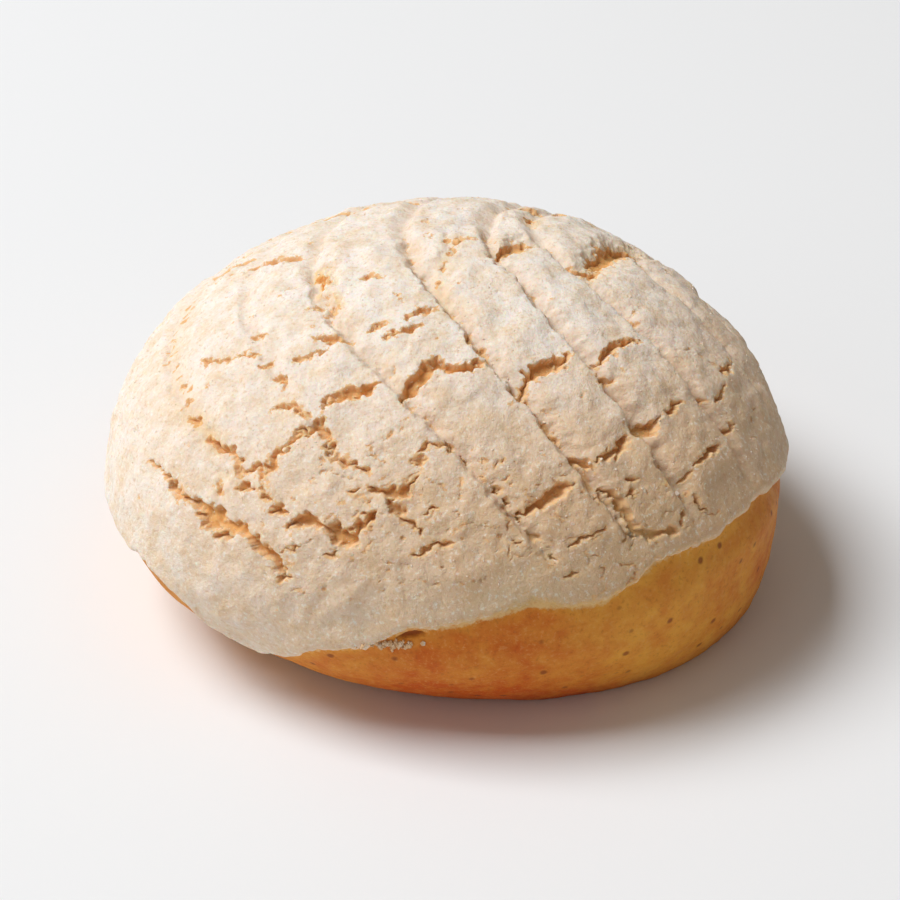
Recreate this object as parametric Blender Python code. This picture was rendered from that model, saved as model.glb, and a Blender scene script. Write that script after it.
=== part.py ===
"""Vanilla concha: a round sweet bun under a cracked sugar topping scored like a shell.

The bun rests on z = 0 with its crown up, in metres. +X is the side where the most bread shows,
and -Y is the front. Its curved surface is described by a bearing, the direction seen from above,
and a drop, the angle down from the crown. Flattened out from the crown, a place is (across, along):
across grows towards +X, along towards +Y, and one radian of drop is BALL long.
"""
import math
import random

import bmesh
import bpy
import numpy as np

NAME = "vanilla_concha"

# Form of the whole: a squat ball, fullest at the belly, leaning over a foot that is off to one side
HALF_WIDTH = 0.0572
DEPTH_RATIO = 0.956
HEIGHT = 0.0580
BELLY_HEIGHT = 0.0209
BELLY_TO_KEEL = 0.0365
UPPER_POWER = 1.99
LOWER_POWER = 1.915
FOOT_SHIFT = (0.0092, 0.0006)
CROWN_SHIFT = 0.0033
CENTRE = (-0.0003, -0.0017)
OVALNESS = -0.009
THREE_SIDEDNESS = -0.030
BALL = 0.0573

# Where the form swells or is drawn in: bearing and its spread, drop and its spread, all in degrees,
# then how far out it goes
SWELLS = ((150, 42, 64, 22, 0.0013), (196, 18, 92, 16, -0.0009), (338, 34, 106, 18, -0.0009))

# Sugar topping
TOPPING = 0.0026
LIP = 0.0008
LIP_PROUD = 0.0006
GAP = 0.0004
LIP_ROUND = 0.0024
SINK = 0.0030
LEAST_PASTE = 0.0008

# Lower edge of the topping: bearing and drop, both in degrees
RIM = ((0, 85), (45, 84), (90, 86), (135, 89), (180, 93), (205, 92.5), (216, 90), (221, 93),
       (225.5, 97), (228, 104), (233, 109.5), (240, 104.3), (247, 98.7), (251, 95.5), (258, 93),
       (261, 89.3), (264.5, 86.2), (271, 84.4), (278, 81.8), (283.5, 79), (288, 80.3), (293.5, 82.4),
       (296, 82), (299, 79.3), (303, 77.5), (305, 76), (319, 76.2), (322, 75.6), (330, 76), (335, 78),
       (342, 82.5))
RIM_WAVE = 0.3

# The side where the topping stands away from the bread and curls in: bearing and spread, in degrees
TUCKED_SIDE = (346, 26)
TUCKED_LIP = 0.0011
TUCKED_PROUD = 0.0005
TUCKED_ROUND = 0.0030

# Scores of the shell pattern in mm: across and along at the most leftward place, then how far the
# score has swung to the right SWING_REACH away from there, and its front and back ends
SCORES = (
    (-56, 4, 13, -48, 48),
    (-38, 6, 12, -30, 56),
    (-26, 8, 15, -69, 62),
    (-10, 12, 16, -61, 68),
    (4.5, 12, 19, -51, 70),
    (13, 18, 26, -39, 62),
    (35, 14, 54, -16, 52),
    (52, 14, 44, -12, 40),
)
SWING_REACH = 40.0
SWING_POWER = 1.8
SCORE_DEPTH = 0.0013
SCORE_STEEP = 1.4
SCORE_GENTLE = 4.2
SCORE_FADE = 9.0

# Cracks that show at a glance, in mm: width, then the places where each bends
CRACKS = (
    (3.0, ((-10, -35), (-8, -31.5), (-4.5, -28.5), (3.5, -28))),
    (2.4, ((-22.5, -34), (-18, -33), (-13, -31.5))),
    (1.5, ((-34, -45), (-30, -40.5), (-24, -39.5), (-20.5, -45), (-15.5, -49.5))),
    (2.5, ((-59, -32), (-54, -41), (-47, -50), (-41, -55), (-36, -63), (-33.5, -68.5))),
    (1.8, ((-42, -46), (-36, -47.5))),
    (2.4, ((-34, -53), (-27, -58), (-20, -62), (-16, -58.5))),
    (1.8, ((-15, -53), (-11, -55), (-6, -63))),
    (2.0, ((11, -32), (13.5, -27.5), (17, -23.5))),
    (1.6, ((22, -24), (28, -17.5))),
    (1.9, ((13, -57), (21, -49.5))),
    (1.8, ((24.5, -44.5), (29, -38.5))),
    (2.0, ((31, -37), (34.5, -32), (38.5, -27.5))),
    (1.7, ((42, -43.5), (47.5, -34))),
    (1.6, ((46, -24), (50.5, -10.5))),
    (1.7, ((29, -51), (35, -56.5), (45, -54.5))),
    (3.0, ((5.5, 3), (9, 6.5), (13.5, 8))),
    (3.0, ((20, 0), (25, 9), (30, 15), (36, 24))),
)
CRACK_DEPTH = 0.0017

# Cracks of the back: how many, how far they are from the crown and how long they are, in mm
BACK_CRACKS = 16
BACK_BEARINGS = (25, 170)
BACK_REACH = (32, 72)
BACK_LENGTH = (6, 13)
BACK_SLANT = -0.5
BACK_SLANT_SPREAD = 0.4
BACK_WIDTH = 1.7
SEED = 21

# Fineness
BREAD_SEGMENTS = 60
BREAD_RINGS = 32
TOPPING_SUBDIVISIONS = 7
TOPPING_SHARE = 0.118

CREAM = (0.80, 0.68, 0.52, 1.0)
GOLDEN = (0.60, 0.30, 0.08, 1.0)


def smooth_step(value, low, high):
    """0 below low, 1 above high, and a soft ramp between them."""
    ramp = np.clip((value - low) / (high - low), 0.0, 1.0)
    return ramp * ramp * (3.0 - 2.0 * ramp)


def signed_power(value, power):
    return np.sign(value) * np.abs(value) ** power


def form_places(bearing, drop, offset):
    """Places on the form of the whole, moved out by offset."""
    for middle, spread, deep, drop_spread, amount in SWELLS:
        away = np.exp(-((np.degrees(drop) - deep) / drop_spread) ** 2)
        offset = offset + amount * away * near_bearing(bearing, middle, spread)
    level = np.cos(drop)
    above = level >= 0.0
    power = 2.0 / np.where(above, UPPER_POWER, LOWER_POWER)
    reach = np.where(above, HEIGHT - BELLY_HEIGHT, BELLY_TO_KEEL) + offset
    height = BELLY_HEIGHT + reach * signed_power(level, power)
    below = np.clip((BELLY_HEIGHT - height) / BELLY_HEIGHT, 0.0, 1.0) ** 1.5
    over = np.clip((height - BELLY_HEIGHT) / (HEIGHT - BELLY_HEIGHT), 0.0, 1.0)
    wobble = 1.0 + OVALNESS * np.sin(2.0 * bearing) + THREE_SIDEDNESS * np.sin(3.0 * bearing)
    radius = (HALF_WIDTH * wobble + offset) * np.abs(np.sin(drop)) ** power
    x = CENTRE[0] + radius * np.cos(bearing) + FOOT_SHIFT[0] * below + CROWN_SHIFT * over
    y = CENTRE[1] + DEPTH_RATIO * radius * np.sin(bearing) + FOOT_SHIFT[1] * below
    return np.stack((x, y, height), axis=-1)


def rim_drop(bearing):
    """Drop of the topping's lower edge: straight between the named places, and slightly wavy."""
    bearings = [stop[0] for stop in RIM]
    drops = [stop[1] for stop in RIM]
    wave = RIM_WAVE * (np.sin(9.0 * bearing + 1.0) + 0.6 * np.sin(23.0 * bearing))
    return np.radians(np.interp(np.degrees(bearing), bearings, drops, period=360.0) + wave)


def near_bearing(bearing, middle, spread):
    """1 at the middle bearing, falling off over the spread, both in degrees."""
    turn = (np.degrees(bearing) - middle + 180.0) % 360.0 - 180.0
    return np.exp(-(turn / spread) ** 2)


def bread_offset(bearing, drop):
    """The bread lies under the topping, and swells out to the form below the rim."""
    past_rim = np.degrees(drop - rim_drop(bearing))
    tucked = near_bearing(bearing, *TUCKED_SIDE)
    lip = LIP + TUCKED_LIP * tucked
    under = -TOPPING + (TOPPING - lip) * smooth_step(past_rim, -26.0, -2.0)
    return under + lip * smooth_step(past_rim, 0.0, 14.0 - 6.0 * tucked)


def score_relief(across, along):
    """0 on the ribs to 1 on the floor of a score, in mm on the flattened dome."""
    relief = np.zeros_like(across)
    for start_across, start_along, swing, front, back in SCORES:
        reach = np.abs(along - start_along) / SWING_REACH
        side = across - (start_across + swing * reach ** SWING_POWER)
        side = side / np.hypot(1.0, swing * SWING_POWER * reach ** (SWING_POWER - 1.0) / SWING_REACH)
        width = np.where(side < 0.0, SCORE_STEEP, SCORE_GENTLE)
        ends = smooth_step(along, front - 2.0, front + SCORE_FADE)
        ends = ends * (1.0 - smooth_step(along, back - SCORE_FADE, back + 2.0))
        relief = np.maximum(relief, ends * np.exp(-(side / width) ** 2))
    return relief


def segment_distance(across, along, start, end):
    run = (end[0] - start[0], end[1] - start[1])
    share = (across - start[0]) * run[0] + (along - start[1]) * run[1]
    share = np.clip(share / (run[0] ** 2 + run[1] ** 2), 0.0, 1.0)
    return np.hypot(across - start[0] - share * run[0], along - start[1] - share * run[1])


def back_cracks():
    """Cracks across the ribs on the hidden side, by the same habit as those in front."""
    draw = random.Random(SEED)
    cracks = []
    low, high = BACK_BEARINGS
    for number in range(BACK_CRACKS):
        bearing = math.radians(low + (high - low) * (number + draw.random()) / BACK_CRACKS)
        reach = draw.uniform(*BACK_REACH)
        slant = BACK_SLANT + draw.uniform(-BACK_SLANT_SPREAD, BACK_SLANT_SPREAD)
        half = 0.5 * draw.uniform(*BACK_LENGTH)
        middle = (reach * math.cos(bearing), reach * math.sin(bearing))
        start = (middle[0] - half * math.cos(slant), middle[1] - half * math.sin(slant))
        end = (middle[0] + half * math.cos(slant), middle[1] + half * math.sin(slant))
        cracks.append((BACK_WIDTH, (start, end)))
    return cracks


def crack_relief(across, along):
    """0 on the ribs to 1 on the floor of a crack, in mm on the flattened dome."""
    relief = np.zeros_like(across)
    for width, bends in list(CRACKS) + back_cracks():
        for start, end in zip(bends, bends[1:]):
            distance = segment_distance(across, along, start, end)
            relief = np.maximum(relief, 1.0 - smooth_step(distance, 0.35 * width, 0.75 * width))
    return relief


def topping_offset(bearing, drop):
    """Outside of the topping: scored and cracked, and rounded off at the rim into the bread."""
    across = 1000.0 * BALL * drop * np.cos(bearing)
    along = 1000.0 * BALL * drop * np.sin(bearing)
    past_rim = BALL * (drop - rim_drop(bearing))
    calm = 1.0 - smooth_step(past_rim, -0.012, -0.004)
    tucked = near_bearing(bearing, *TUCKED_SIDE)
    inside = bread_offset(bearing, drop) + GAP
    smooth_outside = (LIP_PROUD + TUCKED_PROUD * tucked) * (1.0 - calm)
    relief = SCORE_DEPTH * score_relief(across, along)
    relief = np.maximum(relief, CRACK_DEPTH * crack_relief(across, along)) * calm
    outside = smooth_outside - np.minimum(relief, smooth_outside - inside - LEAST_PASTE)
    turn = np.clip(1.0 + past_rim / (LIP_ROUND + TUCKED_ROUND * tucked), 0.0, 1.0)
    rounded = inside + (outside - inside) * np.sqrt(1.0 - turn * turn)
    return rounded - SINK * smooth_step(past_rim, -0.0004, 0.003)


def shape_ball(ball, offset_rule):
    """Moves each vertex of a unit ball to its place on the form."""
    count = len(ball.data.vertices)
    flat = np.empty(count * 3)
    ball.data.vertices.foreach_get("co", flat)
    ways = flat.reshape(count, 3)
    bearing = np.arctan2(ways[:, 1], ways[:, 0])
    drop = np.arccos(np.clip(ways[:, 2], -1.0, 1.0))
    places = form_places(bearing, drop, offset_rule(bearing, drop))
    ball.data.vertices.foreach_set("co", places.ravel())
    ball.data.update()


def flatten_foot(ball):
    """Cuts the ball level with the table and closes it with one flat face."""
    mesh = bmesh.new()
    mesh.from_mesh(ball.data)
    parts = mesh.verts[:] + mesh.edges[:] + mesh.faces[:]
    cut = bmesh.ops.bisect_plane(mesh, geom=parts, plane_co=(0, 0, 0), plane_no=(0, 0, 1), clear_inner=True)
    edge = [item for item in cut["geom_cut"] if isinstance(item, bmesh.types.BMEdge)]
    bmesh.ops.edgeloop_fill(mesh, edges=edge)
    bmesh.ops.recalc_face_normals(mesh, faces=mesh.faces[:])
    mesh.to_mesh(ball.data)
    mesh.free()


def add_bread_ball(name, offset_rule):
    """A ball of bread, named and shaped."""
    bpy.ops.mesh.primitive_uv_sphere_add(segments=BREAD_SEGMENTS, ring_count=BREAD_RINGS, radius=1.0)
    ball = bpy.context.object
    ball.name = name
    shape_ball(ball, offset_rule)
    return ball


def add_material(name, colour, roughness):
    material = bpy.data.materials.new(name)
    material.use_nodes = True
    shader = material.node_tree.nodes["Principled BSDF"]
    shader.inputs["Base Color"].default_value = colour
    shader.inputs["Roughness"].default_value = roughness
    shader.inputs["Metallic"].default_value = 0.0
    return material


def add_bun():
    """The bread, with a flat foot."""
    bun = add_bread_ball("bun", bread_offset)
    flatten_foot(bun)
    bun.data.shade_smooth()
    bun.data.materials.append(add_material("baked_crust", GOLDEN, 0.55))
    return bun


def add_topping_cutter():
    """The bread with the gap round it, which hollows the topping."""
    cutter = add_bread_ball("bread_space", lambda bearing, drop: bread_offset(bearing, drop) + GAP)
    cutter.hide_render = True
    cutter.display_type = "WIRE"
    return cutter


def add_topping(cutter):
    """The sugar topping, a cap hollowed by the bread that it covers."""
    bpy.ops.mesh.primitive_ico_sphere_add(subdivisions=TOPPING_SUBDIVISIONS, radius=1.0)
    topping = bpy.context.object
    topping.name = "sugar_topping"
    shape_ball(topping, topping_offset)
    thin = topping.modifiers.new("fewer_faces", "DECIMATE")
    thin.ratio = TOPPING_SHARE
    hollow = topping.modifiers.new("hollow", "BOOLEAN")
    hollow.operation = "DIFFERENCE"
    hollow.solver = "EXACT"
    hollow.object = cutter
    topping.data.shade_smooth()
    topping.data.materials.append(add_material("sugar_paste", CREAM, 0.95))
    return topping


def move_to_collection(item, collection):
    for old in list(item.users_collection):
        old.objects.unlink(item)
    collection.objects.link(item)


def add_collection(name):
    collection = bpy.data.collections.new(name)
    bpy.context.scene.collection.children.link(collection)
    return collection


def build():
    for old in list(bpy.data.objects):
        bpy.data.objects.remove(old, do_unlink=True)
    parts = add_collection(NAME)
    guides = add_collection("cutters")
    cutter = add_topping_cutter()
    move_to_collection(cutter, guides)
    move_to_collection(add_topping(cutter), parts)
    move_to_collection(add_bun(), parts)


build()
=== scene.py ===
"""The looks of a vanilla concha: cracked sugar paste over a golden bun, on a pale floor in soft light.

Relief is worked out in millimetres on the flattened dome: across grows to the right (+X), along
grows towards the back (+Y), and one millimetre is one degree of drop from the crown.
"""
import itertools
import math
import random

import bpy
import numpy as np
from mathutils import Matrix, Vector


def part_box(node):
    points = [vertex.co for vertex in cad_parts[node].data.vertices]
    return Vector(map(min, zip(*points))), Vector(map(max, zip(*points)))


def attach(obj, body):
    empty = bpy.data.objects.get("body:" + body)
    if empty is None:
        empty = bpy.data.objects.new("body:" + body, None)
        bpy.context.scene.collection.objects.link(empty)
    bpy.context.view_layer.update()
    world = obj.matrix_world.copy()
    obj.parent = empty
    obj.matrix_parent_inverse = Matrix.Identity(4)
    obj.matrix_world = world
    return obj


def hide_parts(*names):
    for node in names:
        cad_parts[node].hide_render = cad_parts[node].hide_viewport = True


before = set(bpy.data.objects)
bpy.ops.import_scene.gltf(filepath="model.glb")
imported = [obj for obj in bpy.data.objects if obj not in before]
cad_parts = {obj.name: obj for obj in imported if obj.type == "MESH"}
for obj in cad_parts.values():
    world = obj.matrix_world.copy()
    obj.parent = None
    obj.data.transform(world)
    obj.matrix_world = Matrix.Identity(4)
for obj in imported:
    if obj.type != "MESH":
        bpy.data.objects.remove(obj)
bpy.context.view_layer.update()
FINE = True

# Form of the whole, in metres, as the solids have it
HALF_WIDTH = 0.0572
DEPTH_RATIO = 0.956
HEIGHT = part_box("sugar_topping")[1].z
BELLY_HEIGHT = 0.0209
BELLY_TO_KEEL = 0.0365
UPPER_POWER = 1.99
LOWER_POWER = 1.915
FOOT_SHIFT = (0.0092, 0.0006)
CROWN_SHIFT = 0.0033
CENTRE = (-0.0003, -0.0017)
OVALNESS = -0.009
THREE_SIDEDNESS = -0.030
BALL = 0.0573

# How sharply the bun draws in to its foot
FOOT_EASE = 1.5

# Where the form swells or is drawn in: bearing and its spread, drop and its spread, all in degrees,
# then how far out it goes
SWELLS = ((150, 42, 64, 22, 0.0013), (196, 18, 92, 16, -0.0009), (338, 34, 106, 18, -0.0009))

# The topping's thickness, then at its lower edge: how far the bread lies in, how proud it stands,
# over what length it rounds off, and how far its inside reaches into the bread
TOPPING = 0.0026
LIP = 0.0008
LIP_PROUD = 0.0006
LIP_ROUND = 0.0024
TUCK = 0.0002

# Lower edge of the topping: bearing and drop, both in degrees, then the size of its wave in degrees
# and its radius in mm, for its bites
RIM = ((0, 85), (45, 84), (90, 86), (135, 89), (180, 93), (205, 92.5), (216, 90), (221, 93),
       (225.5, 97), (228, 104), (233, 109.5), (240, 104.3), (247, 98.7), (251, 95.5), (258, 93),
       (261, 89.3), (264.5, 86.2), (271, 84.4), (278, 81.8), (283.5, 79), (288, 80.3), (293.5, 82.4),
       (296, 82), (299, 79.3), (303, 77.5), (305, 76), (319, 76.2), (322, 75.6), (330, 76), (335, 78),
       (342, 82.5))
RIM_WAVE = 0.3
RIM_RADIUS = 60.0

# The side where the topping stands away from the bread and curls in: bearing and spread, in degrees
TUCKED_SIDE = (346, 26)
TUCKED_LIP = 0.0011
TUCKED_PROUD = 0.0005
TUCKED_ROUND = 0.0030

# The side where the topping thins out on the bread
FEATHERED_SIDE = (285, 24)
FEATHERED_PROUD = 0.0005
FEATHERED_LIP = 0.0004

# The ball that becomes the topping is its outside down to the fold, and its inside past it. The
# bread's ball has the part under the topping, which ends a band above the rim, down to where its
# side starts.
FOLD = math.radians(125.0)
SIDE_START = math.radians(55.0)
HIDDEN_BAND = math.radians(8.0)
TOPPING_SUBDIVISIONS = 9 if FINE else 8
BUN_SUBDIVISIONS = 8 if FINE else 7
TOPPING_TRIANGLES = 195000
BUN_TRIANGLES = 180000

# The front-right side of the topping, away from the key light, is painted darker and warmer: partly
# a baked tint, partly painted shade. Its bearing and spread, both in degrees, how much of that
# darker colour it takes, and the drops, in radians, between which this sets in
BAKED_AND_SHADED_SIDE = (305.0, 80.0)
BAKED_AND_SHADED_SHARE = 0.9
BAKED_AND_SHADED_DROPS = (0.3, 1.1)

# The bread under the topping, in degrees past the rim: where it rises towards the rim, and where
# it has swollen out to the form, which is sooner on the tucked side. Its pebbles start at the rim.
BREAD_RISE = (-26.0, -2.0)
SWOLLEN_OUT = 14.0
TUCKED_SOONER = 6.0
PEBBLE_ENDS = (-1.0, 3.0)

# Near the rim, in mm past it: where the relief calms down and what is left of it, where the lumps
# calm down and by how much, how thin the topping may get, and where it thins out
CALM_ENDS = (-9.0, -2.0)
CALM_RELIEF = 0.25
CALM_LUMP_ENDS = (-16.0, -3.0)
CALMED_LUMPS = 0.6
THINNEST = 0.35
THIN_RIM = (-3.6, 0.0)

# How much of a thin or dusted edge there is away from the feathered side, and where the dust of
# sugar on the bread fades out, in degrees past the rim
EVEN_RIM = 0.35
EVEN_DUST = 0.45
DUST_ENDS = (0.1, 1.7)

# Scores: across and along at the most leftward place, swing to the right SWING_REACH away from
# there, front and back ends, all in mm, then depth and how much of the thin open line they have
SCORES = (
    (-56, 4, 13, -48, 48, 0.6, 0.2),
    (-38, 6, 12, -30, 56, 0.6, 0.1),
    (-26, 8, 15, -69, 62, 1.1, 0.8),
    (-10, 12, 16, -61, 68, 1.5, 1.0),
    (4.5, 12, 19, -51, 70, 1.7, 1.0),
    (13, 18, 26, -39, 62, 1.6, 1.0),
    (35, 14, 54, -16, 52, 1.3, 0.2),
    (52, 14, 44, -12, 40, 1.1, 0.1),
)
SWING_REACH = 40.0
SWING_POWER = 1.8
SCORE_FADE = 9.0

# A score in cross-section, in mm to the right of its line: its left side rises from the floor,
# steeply where crisp, its right side falls off in two steps, and a thin open line runs along it.
# SCORE_END is how far it fades past each end, in mm. SOFT_DEPTH and SOFT_LINE are the shares of
# depth and line that are left where it isn't crisp.
SCORE_END = 2.0
SCORE_FLOOR = 0.2
RISE_SOFT = 3.6
RISE_SHARPENED = 2.4
FIRST_FALL = 0.65
FIRST_FALL_END = 1.8
FIRST_FALL_CRISP = 1.2
SECOND_FALL = 0.35
SECOND_FALL_ENDS = (0.3, 6.0)
SOFT_DEPTH = 0.65
SOFT_LINE = 0.3
LINE_PLACE = 0.15
LINE_WIDTH = 0.5

# The scores are soft at the back and crisp in front, changing between these places along, in mm
CRISP_ENDS = (-8.0, 22.0)

# Cracks in mm: width, how golden the floor is, then the places where each bends
CRACKS = (
    (2.5, 0.7, (-10, -35), (-8.5, -32), (-5.5, -29), (-4, -27.8), (0, -28.5), (3.5, -27.5)),
    (1.9, 0.7, (-22.5, -34.5), (-21, -32.3), (-18, -32), (-15.5, -32.2), (-13, -30.5)),
    (1.3, 0.8, (-31, -32), (-27.2, -32.5), (-25.5, -35)),
    (1.9, 0.5, (-26.5, -38.5), (-23.8, -38.2), (-22, -41)),
    (0.9, 0.9, (-30.3, -25.2), (-29.2, -25), (-29.6, -27.8)),
    (0.8, 0.9, (-33.5, -21.5), (-31.3, -21.3)),
    (0.6, 0.8, (-35, -13.8), (-32, -14.3)),
    (0.5, 0.6, (-25.5, -10), (-22, -10), (-20, -12)),
    (1.2, 0.8, (-33.5, -45), (-31.5, -41.5), (-28, -40), (-25, -39)),
    (1.3, 0.5, (-22.5, -40.5), (-20.5, -45), (-17, -48), (-15.5, -49.5)),
    (1.4, 0.6, (-23, -36), (-24, -39)),
    (1.0, 0.8, (-59.5, -32), (-57, -35), (-55, -39)),
    (1.9, 0.9, (-55, -39), (-53, -43), (-50, -46.5), (-46.5, -50.5), (-44, -54), (-41, -55),
     (-38.5, -59), (-36, -63), (-34.5, -67), (-33, -68.5)),
    (1.2, 0.8, (-57.5, -37), (-55, -38)),
    (2.2, 0.8, (-47, -55), (-43, -56)),
    (2.6, 0.8, (-50, -49), (-46, -53.5)),
    (1.3, 0.6, (-36, -68.5), (-32, -68.5)),
    (1.7, 0.9, (-44, -44), (-43, -47)),
    (1.9, 0.8, (-40, -46), (-36, -47.5)),
    (0.9, 0.5, (-35, -44), (-34.5, -50)),
    (2.0, 0.7, (-34, -53), (-31, -54.5)),
    (2.4, 0.7, (-31, -58), (-28, -56.5), (-26, -58), (-22, -60), (-20, -62.5), (-18, -60.5),
     (-15, -58)),
    (0.8, 0.4, (-33, -62), (-29, -62)),
    (1.0, 0.5, (-19, -53), (-17, -52)),
    (1.7, 0.6, (-15, -53), (-12, -54), (-9, -53.5), (-7, -51.5)),
    (1.6, 0.6, (-12, -55), (-9.5, -58), (-7, -61), (-6, -63)),
    (0.9, 0.4, (-8, -47.5), (-5, -47)),
    (0.8, 0.4, (-7, -46), (-4, -45), (-1, -45.5)),
    (0.8, 0.4, (-5.5, -58), (-3, -57)),
    (0.8, 0.5, (-25, -65), (-21.5, -65.5)),
    (1.0, 0.5, (-8, -67), (-5, -65.5), (-2, -64.5), (0, -65)),
    (0.8, 0.8, (-45.2, -13.8), (-42, -16.2), (-39, -17.8), (-36.2, -17.5), (-33.2, -18.2)),
    (0.9, 0.7, (-39.2, -43), (-34.5, -42.5), (-35, -49.8), (-34.2, -50.5)),
    (1.6, 0.5, (-44.8, -33.8), (-41.8, -37.2), (-38.8, -40.5)),
    (0.9, 0.7, (-40, -38.8), (-39.5, -42.8), (-39.2, -44.5)),
    (0.8, 0.9, (-48, -27), (-46, -29.5)),
    (1.5, 0.7, (-24, -18.5), (-22, -18.5), (-20, -19.5), (-17.5, -19.5)),
    (1.2, 0.7, (-12, -20.5), (-10, -19.5), (-7.5, -18.5)),
    (0.7, 0.6, (-14.5, -18), (-12, -17)),
    (1.3, 0.6, (-8.5, -16), (-6.5, -15), (-4, -14)),
    (0.8, 0.7, (-16.5, -3.5), (-13, -4)),
    (0.6, 0.5, (-27, -22), (-22, -22)),
    (1.1, 0.8, (-1.5, 3.2), (-2, 1.2)),
    (1.1, 0.8, (-2.8, -1.2), (-3.2, -2.8)),
    (0.9, 0.8, (-4, -6), (-4, -7.5)),
    (0.8, 0.6, (1, -20), (1.3, -23)),
    (2.1, 0.7, (11, -33), (11.5, -30), (13.5, -27.5), (15.5, -25.5), (17, -23.5)),
    (1.6, 0.7, (22, -24), (24, -21.5), (26, -19), (28.5, -17)),
    (0.8, 0.6, (21.5, -28), (24, -26.5)),
    (1.8, 0.6, (13, -57), (16, -54.5), (18.5, -52.5), (21, -49.5)),
    (1.7, 0.7, (24.5, -44.5), (27, -42.5), (28.5, -39), (29.5, -38)),
    (1.9, 0.7, (31, -37), (33, -33.5), (34.5, -32)),
    (1.6, 0.7, (36, -30.5), (38.5, -27.5)),
    (1.7, 0.7, (43.5, -40), (45, -37), (47.5, -34)),
    (1.0, 0.6, (42, -43.5), (43, -42)),
    (1.0, 0.6, (42, -27), (44.5, -25)),
    (1.1, 0.6, (46.5, -24), (48, -19.5)),
    (1.6, 0.6, (47, -16.5), (50.5, -10.5)),
    (1.0, 0.6, (49, -30), (51.5, -26.5)),
    (1.6, 0.6, (27, -50), (30, -51), (31.5, -53.5), (35, -56.5), (38, -57), (42, -55), (45, -54.5)),
    (1.0, 0.5, (44, -50), (45, -52.5)),
    (1.0, 0.5, (31, -47), (33, -46.5)),
    (0.9, 0.5, (31.5, -50), (33, -49.5)),
    (1.2, 0.7, (14.6, -39.4), (15.4, -38.6)),
    (1.3, 0.6, (17, -41), (18.5, -43)),
    (1.8, 0.7, (20, -44.5), (22, -45), (24, -46.5)),
    (1.0, 0.5, (23, -63.5), (26, -60.5), (28.5, -57.5)),
    (0.9, 0.5, (34, -59), (36, -58)),
    (1.0, 0.5, (12, -63.5), (13.5, -62.5)),
    (1.2, 0.5, (23.5, -69), (26, -68)),
    (1.9, 0.5, (38.5, -68.5), (38.5, -66)),
    (1.0, 0.5, (36, -71.5), (37.5, -71)),
    (1.1, 0.5, (46, -45.5), (48, -48), (50, -48)),
    (2.4, 0.7, (6.5, 1.5), (8.5, 5), (11, 8), (15.5, 7)),
    (1.8, 0.9, (17.5, 2), (21, 0.5), (24.5, 2)),
    (4.4, 0.9, (22.5, 3.5), (25.5, 8), (28, 13), (32, 18), (36, 23)),
    (2.6, 0.4, (13.4, 24), (12.8, 21.5)),
    (1.5, 0.8, (-2.5, 6.5), (-0.5, 5.5), (2, 6)),
    (0.7, 0.7, (28.5, -10.5), (30, -11.5)),
    (0.9, 1.0, (-24, 1.5), (-23.2, -2), (-22.3, -4.8)),
    (0.9, 0.3, (21.5, -27.5), (23, -27), (25, -27)),
)

# Pits along the scores, as the cracks are
PITS = (
    (1.4, 0.3, (1, -21.8), (1.5, -23)),
    (1.2, 0.4, (3.5, -24.5), (4.2, -27)),
    (1.6, 0.5, (10.2, -34), (11.3, -33)),
    (1.1, 0.3, (11.2, -8.5), (11.5, -9.5)),
    (0.8, 0.3, (13, -14.5), (13.4, -15.2)),
    (0.9, 0.3, (18, -21.5), (18.5, -22.2)),
    (1.1, 0.3, (25, -30), (26, -31)),
    (1.2, 0.3, (-2, -44), (-1, -45)),
    (1.1, 0.3, (0.5, -47), (1.5, -48.3)),
    (1.2, 0.3, (4.5, -50.5), (5, -51)),
    (1.3, 0.3, (7, -53), (8, -54)),
    (1.6, 0.3, (9.5, -55.5), (10.5, -56.5)),
    (0.9, 0.3, (12.5, -58), (13, -59)),
    (1.4, 0.3, (15, -61.2), (16.5, -62.2)),
    (1.4, 0.3, (20, -65.3), (21, -65.8)),
)

# The way to a crack's far side: its parts across and along
FAR_SIDE = (0.35, 1.0)

# A crack in cross-section, in mm past its edge unless named otherwise: how far it is worked out,
# how its ends narrow, how deep it is for its width as a share of the full depth, where its near
# wall and its softer far wall start and end, and where the gold, the stain and the lip fade out
CRACK_REACH = 2.2
END_TAPER = 1.2
END_WIDTH = 0.15
WIDTH_CHANGE = 0.5
SHALLOWEST = 0.35
DEEPER_WITH_WIDTH = 0.33
DEEPEST_SHARE = 1.1
WIDE = 2.0
NEAR_WALL = (-0.3, 0.15)
FAR_WALL_MORE = (-0.7, 0.15)
GOLD_EDGE = (-0.9, 0.2)
STAIN_EDGE = (-0.1, 1.0)
LIP_WIDTH = 0.9

# Depths in mm of a wide crack, of a hair crack, of a score's thin line, of a score at its pinkest
# and of the lowest place, and how high a crack's near edge lifts. Then shares: of a crack's depth
# that a hollow under it adds to, and of a hair crack's colour.
CRACK_DEPTH = 1.45
HAIR_DEPTH = 0.65
LINE_DEPTH = 0.6
FULL_SCORE = 1.6
DEEPEST = 2.4
LIP_LIFT = 0.09
CRACK_IN_HOLLOW = 0.5
HAIR_COLOUR = 0.8

# How far the scores sway with the cracks, where soft and where crisp, how much grit they take, and
# the values of the noise between which hair cracks and the scores' thin line break off
SOFT_SWAY = 0.3
CRISP_SWAY = 0.9
CRISP_GRIT = 0.5
HAIR_BREAKS = (-0.5, 0.2)
LINE_BREAKS = (-0.1, 0.5)

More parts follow.
